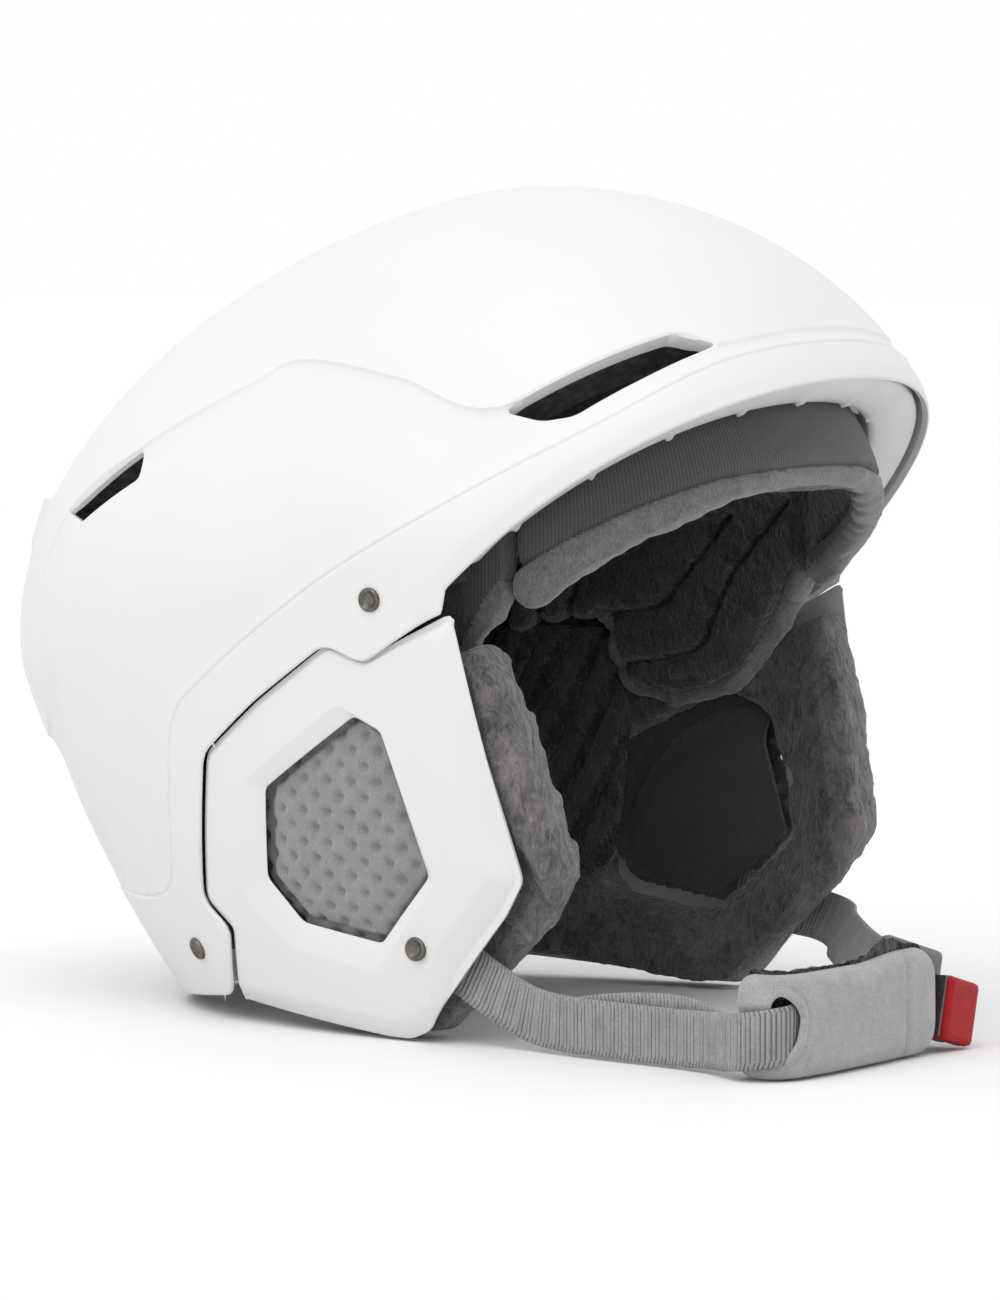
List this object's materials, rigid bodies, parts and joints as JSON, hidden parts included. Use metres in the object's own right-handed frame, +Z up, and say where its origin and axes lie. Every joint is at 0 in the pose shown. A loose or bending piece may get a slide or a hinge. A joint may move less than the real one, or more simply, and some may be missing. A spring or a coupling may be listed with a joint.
{
  "type": "ski helmet",
  "caption": "Hard-shell ski helmet with foam core, ear covers, soft pads, rear fit dial, goggle clip and a buckled chin strap with a padded sleeve.",
  "frame": {"origin": "on the table, under the middle of the whole helmet with its strap", "axes": "+Z up with the helmet standing on its ear covers and nape; the face opening looks along -Y; the wearer's right is -X"},
  "size_m": [0.214, 0.3299, 0.2373],
  "materials": {
    "white_shell": "matt white moulded shell",
    "grey_foam": "expanded bead foam",
    "pale_trim": "pale ribbed liner trim",
    "dark_plush": "dark plush",
    "grey_fabric": "grey knit and suede fabric",
    "grey_webbing": "ribbed grey webbing",
    "dark_plastic": "dark grey moulded plastic",
    "dark_nickel": "dark nickel plating",
    "red_plastic": "red moulded plastic"
  },
  "bodies": {
    "helmet": {"outer_shell": "white_shell", "impact_liner": "grey_foam", "brim_insert": "pale_trim", "forehead_pad": "grey_fabric", "crown_pad": "dark_plush", "rear_pad": "dark_plush", "side_pad_right": "dark_plush", "side_pad_left": "dark_plush", "ear_cover_right": "white_shell", "ear_mesh_right": "grey_fabric", "ear_pad_right": "dark_plush", "ear_pocket_right": "dark_plush", "rivet_temple_right": "dark_nickel", "rivet_rear_right": "dark_nickel", "rivet_ear_right": "dark_nickel", "ear_cover_left": "white_shell", "ear_mesh_left": "grey_fabric", "ear_pad_left": "dark_plush", "ear_pocket_left": "dark_plush", "rivet_temple_left": "dark_nickel", "rivet_rear_left": "dark_nickel", "rivet_ear_left": "dark_nickel", "goggle_clip_base": "dark_plastic", "goggle_clip_pin": "dark_nickel", "fit_housing": "dark_plastic"},
    "clip": {"goggle_clip": "dark_plastic"},
    "dial": {"fit_dial": "dark_plastic", "fit_pinion": "dark_plastic"},
    "band_right": {"fit_band_right": "dark_plastic"},
    "band_left": {"fit_band_left": "dark_plastic"},
    "strap_right": {"webbing_right": "grey_webbing", "chin_pad": "grey_fabric", "buckle_housing": "dark_plastic", "latch_plate": "dark_nickel"},
    "strap_left": {"webbing_left": "grey_webbing", "buckle_tongue": "dark_plastic"},
    "release": {"release_tab": "red_plastic", "release_spring": "dark_nickel"}
  },
  "joints": [
    {"name": "strap_right_swing", "type": "hinge", "parent": "helmet", "child": "strap_right", "pos_m": [0, -0.036, 0.027], "axis": [-1, 0, 0], "range_deg": [-40, 5]},
    {"name": "strap_left_swing", "type": "hinge", "parent": "helmet", "child": "strap_left", "pos_m": [0, -0.036, 0.027], "axis": [-1, 0, 0], "range_deg": [-40, 5]},
    {"name": "release_slide", "type": "slide", "parent": "strap_right", "child": "release", "axis": [0.9666, 0, -0.2563], "range_m": [0, 0.003], "stiffness_N_per_m": 300, "springref_m": -0.002},
    {"name": "clip_hinge", "type": "hinge", "parent": "helmet", "child": "clip", "pos_m": [0, 0.1604, 0.108], "axis": [-1, 0, 0], "range_deg": [0, 80]},
    {"name": "dial_turn", "type": "hinge", "parent": "helmet", "child": "dial", "pos_m": [0, 0.1117, 0.036], "axis": [0, 0.809, -0.5878], "range_deg": [-60, 60]},
    {"name": "band_right_slide", "type": "slide", "parent": "helmet", "child": "band_right", "axis": [-1, 0, 0], "range_m": [-0.004, 0.004]},
    {"name": "band_left_slide", "type": "slide", "parent": "helmet", "child": "band_left", "axis": [1, 0, 0], "range_m": [-0.004, 0.004]}
  ],
  "couplings": [
    {"joint": "strap_left_swing", "follows": "strap_right_swing", "ratio": 1},
    {"joint": "band_right_slide", "follows": "dial_turn", "m_per_rad": 0.0038},
    {"joint": "band_left_slide", "follows": "dial_turn", "m_per_rad": 0.0038}
  ]
}
